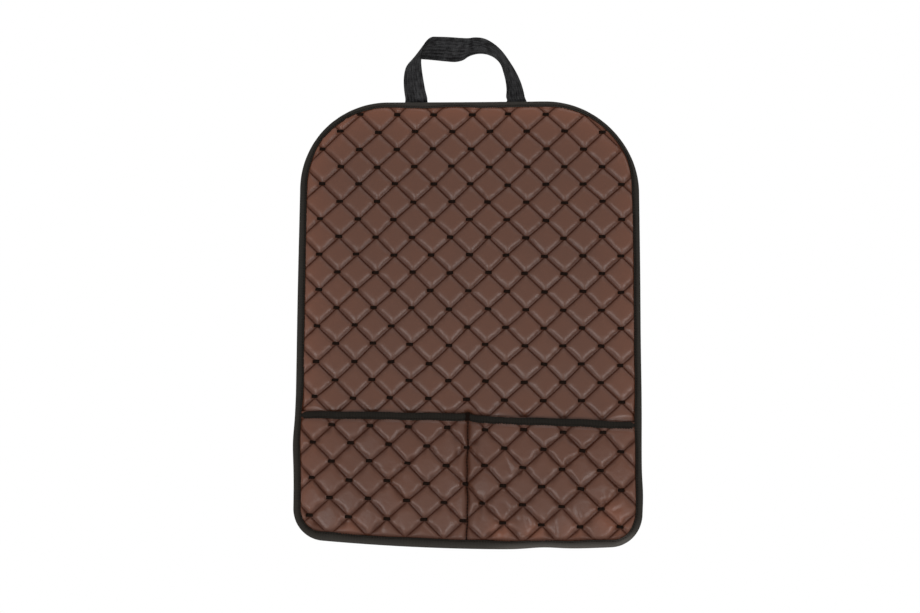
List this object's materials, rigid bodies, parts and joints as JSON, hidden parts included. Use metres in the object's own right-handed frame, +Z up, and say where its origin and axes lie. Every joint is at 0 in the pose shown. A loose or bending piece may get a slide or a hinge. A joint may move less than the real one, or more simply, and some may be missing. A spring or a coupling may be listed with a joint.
{
  "type": "car seat back organizer",
  "caption": "Quilted leatherette seat back organizer with bound edges, a divided bottom pocket and a webbing hanging loop.",
  "frame": {"origin": "centre of the flat back lining, on its surface", "axes": "+Z up to the hanging loop, +Y out of the back towards the seat, -Y out of the quilted front, +X to the right as seen from the front"},
  "size_m": [0.4526, 0.0437, 0.6874],
  "materials": {
    "leatherette": "brown grained leatherette, quilted in diamonds, soft sheen",
    "binding_tape": "black ribbed binding tape, matte",
    "webbing": "black woven webbing with lengthwise ribs, matte",
    "sewing_thread": "black sewing thread, faint sheen",
    "lining_cloth": "black non-woven backing cloth, matte"
  },
  "bodies": {
    "root": {"quilted_panel": "leatherette", "quilted_pocket": "leatherette", "back_lining": "lining_cloth", "edge_binding": "binding_tape", "pocket_binding": "binding_tape", "divider_stitching": "sewing_thread", "divider_bar_tack": "sewing_thread", "hanging_strap": "webbing", "strap_stitching_left": "sewing_thread", "strap_stitching_right": "sewing_thread"}
  },
  "joints": []
}
